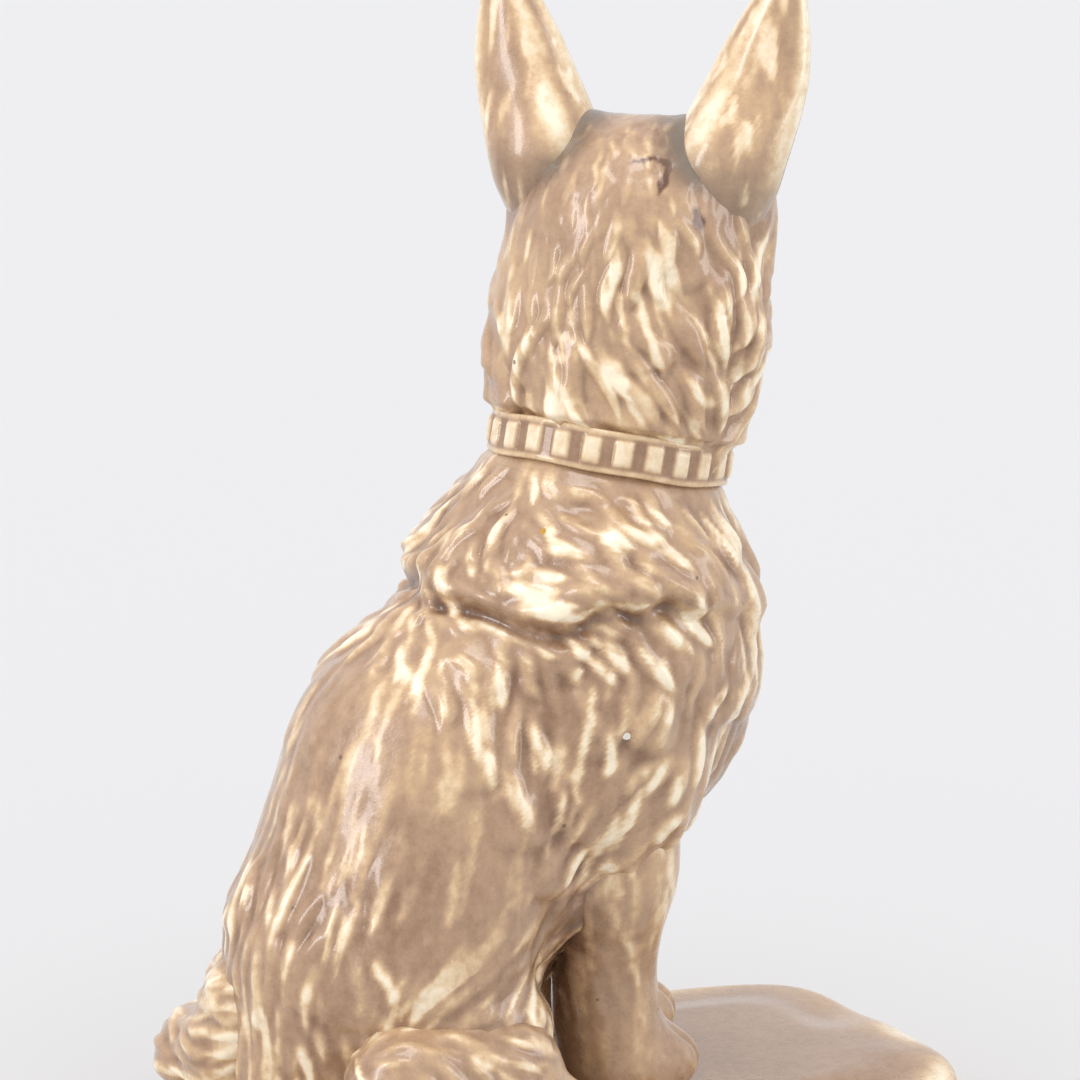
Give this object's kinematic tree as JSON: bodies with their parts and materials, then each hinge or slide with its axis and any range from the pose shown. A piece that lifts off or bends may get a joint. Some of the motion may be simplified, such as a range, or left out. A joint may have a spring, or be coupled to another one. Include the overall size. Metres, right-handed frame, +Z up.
{
  "type": "ceramic dog figurine",
  "caption": "Seated shepherd dog figurine in glazed ceramic, ears up and head turned to its left, with a studded collar, on a low rounded slab",
  "frame": {"origin": "centre of the slab's underside, where it rests on a table", "axes": "+Z up, along the figurine's height; -Y the way the body faces; +X the dog's left, the side its head is turned to"},
  "size_m": [0.09, 0.162, 0.2395],
  "materials": {
    "slab_base": "smooth satin glaze, warm tan with fine mottling",
    "body": "satin glaze over modelled fur: taupe in the hollows, golden brown, cream on the raised locks",
    "head": "satin glaze over modelled fur, cream on the raised locks",
    "collar": "satin cream glaze on the studs, tan in the channel",
    "left_ear": "smooth satin glaze, cream along the edges",
    "right_ear": "smooth satin glaze, cream along the edges",
    "left_foreleg": "satin glaze over modelled fur",
    "right_foreleg": "satin glaze over modelled fur",
    "left_hind_leg": "satin glaze over modelled fur",
    "right_hind_leg": "satin glaze over modelled fur",
    "tail": "satin glaze over modelled fur"
  },
  "bodies": {
    "root": {"slab_base": "slab_base", "body": "body", "head": "head", "collar": "collar", "left_ear": "left_ear", "right_ear": "right_ear", "left_foreleg": "left_foreleg", "right_foreleg": "right_foreleg", "left_hind_leg": "left_hind_leg", "right_hind_leg": "right_hind_leg", "tail": "tail"}
  },
  "joints": []
}
